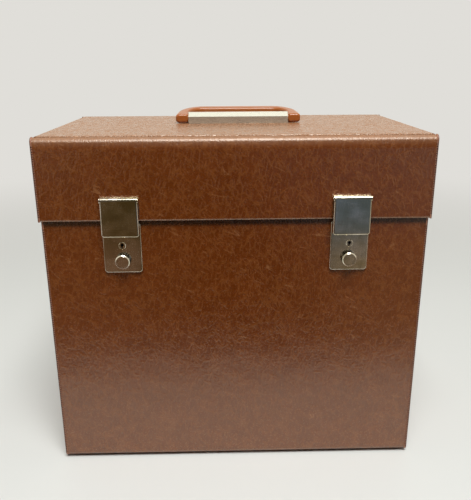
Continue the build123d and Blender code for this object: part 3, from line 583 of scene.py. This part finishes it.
def seams():
    """Stitches along the four upright welts of the lid and of the body."""
    sewing = thread()
    shells = (
        ("lid", "lid", LID_END, RIM_HEIGHT, LID_WELT_TOP),
        ("body", "case", BODY_END, BODY_BOTTOM, RIM_HEIGHT),
    )
    for shell, body, end, low, high in shells:
        for side_name, side in SIDES:
            for face_name, corner, outward in FACES:
                face = edge_of(f"{shell}_{side_name}_welt", corner, Y)
                bedded = face - outward * STITCH_RADIUS * STITCH_BEDDING
                name = f"seam_{shell}_{face_name}_{side_name}"
                seam(name, body, side * end, bedded, outward, low, high, sewing)


# ---------------------------------------------------------------------- stage


def make_camera():
    """Camera that looks down on the case, turned a little from straight ahead and rolled."""
    ahead = Vector((math.sin(CAMERA_HEADING), math.cos(CAMERA_HEADING), 0))
    level = Vector((math.cos(CAMERA_HEADING), -math.sin(CAMERA_HEADING), 0))
    forward = ahead * math.cos(CAMERA_DOWN) - Vector((0, 0, math.sin(CAMERA_DOWN)))
    above = level.cross(forward)
    right = level * math.cos(CAMERA_ROLL) + above * math.sin(CAMERA_ROLL)
    up = above * math.cos(CAMERA_ROLL) - level * math.sin(CAMERA_ROLL)
    turn = Matrix((right, up, -forward)).transposed().to_4x4()
    data = bpy.data.cameras.new("camera")
    data.lens, data.sensor_width, data.sensor_fit = CAMERA_LENS, CAMERA_SENSOR, "AUTO"
    data.clip_start, data.clip_end = CAMERA_NEAREST, CAMERA_FARTHEST
    camera = bpy.data.objects.new("camera", data)
    camera.matrix_world = Matrix.Translation(CAMERA_PLACE) @ turn
    bpy.context.scene.collection.objects.link(camera)
    bpy.context.scene.camera = camera


def room_in_front(nodes, across, ahead):
    """What stands before the case: dark in the middle, warm to the left, cool to the right."""
    far = nodes.step(ahead, *ROOM_TURNS_FAR)
    warm = nodes.mix(far, WARM_NEAR, WARM_FAR)
    cool = nodes.mix(far, COOL_NEAR, COOL_FAR)
    room = nodes.mix(nodes.step(across, *ROOM_TURNS_WARM), DARK_ROOM, warm)
    room = nodes.mix(nodes.step(across, *ROOM_TURNS_COOL), room, cool)
    return nodes.mix(nodes.step(abs(across), *ROOM_TURNS_PALE), room, PALE_ROOM)


def make_floor():
    """Pale floor that fades into the pale room; in reflections it ends in front of the case."""
    bpy.ops.object.select_all(action="DESELECT")
    bpy.ops.mesh.primitive_plane_add(size=FLOOR_SIZE, location=(0, 0, 0))
    floor = bpy.context.active_object
    floor.name = "floor"
    p = Paint("pale_floor", {"Roughness": 0.5})
    place = p.place()
    x, y, _ = p.parts(place)
    p.paint(Base_Color=p.mix(p.noise(place, size=400.0), *FLOOR))
    path = p.add("LightPath").socket.node
    reflected = 1 - Value(p, path.outputs["Is Camera Ray"])
    before = reflected * p.step(y, *FLOOR_ENDS_IN_REFLECTIONS)
    away = p.add("VectorMath", {"operation": "LENGTH"}, output=1, Vector=place)
    glow = p.add("Emission", Color=p.mix(before, PALE_ROOM, room_in_front(p, x, y)))
    covered = p.sum("MAXIMUM", before, p.step(away, *FLOOR_FADES))
    cover = p.add("MixShader", Fac=covered).socket.node
    p.feed(cover.inputs[1], Value(p, p.shader.outputs[0]))
    p.feed(cover.inputs[2], glow)
    p.feed(p.tree.nodes["Material Output"].inputs["Surface"], Value(p, cover.outputs[0]))
    floor.data.materials.append(p.material)


def make_world():
    """Pale room in view and in reflections, dim in front of the case; a dimmer light on all."""
    world = bpy.data.worlds.new("room")
    bpy.context.scene.world = world
    world.use_nodes = True
    nodes = Nodes(world.node_tree)
    _, y, z = nodes.parts(nodes.add("TexCoord", output=0))
    before = nodes.step(y, *DIM_AHEAD) * nodes.step(z, *DIM_BELOW)
    path = nodes.add("LightPath").socket.node
    scattered = Value(nodes, path.outputs["Is Diffuse Ray"])
    seen = Value(nodes, path.outputs["Is Camera Ray"])
    bright = nodes.mix(scattered, WORLD_BRIGHT, WORLD_AS_LIGHT)
    room = nodes.mix(before, bright, WORLD_DIM)
    background = nodes.tree.nodes["Background"]
    nodes.feed(background.inputs["Color"], nodes.mix(seen, room, PALE_ROOM))


def make_lamp():
    """Square lamp that shines softly on the case."""
    data = bpy.data.lights.new("ceiling_panel", "AREA")
    data.shape, data.size, data.energy = "SQUARE", LAMP_SIZE, LAMP_WATTS
    lamp = bpy.data.objects.new("ceiling_panel", data)
    lamp.location = LAMP_PLACE
    lamp.rotation_mode = "QUATERNION"
    aim = Vector(LAMP_TARGET) - Vector(LAMP_PLACE)
    lamp.rotation_quaternion = aim.to_track_quat("-Z", "Y")
    bpy.context.scene.collection.objects.link(lamp)


# --------------------------------------------------------------------- making

bpy.context.scene.view_settings.view_transform = "Standard"
make_camera()
make_floor()
make_world()
make_lamp()
finish_cad_nodes()
seams()
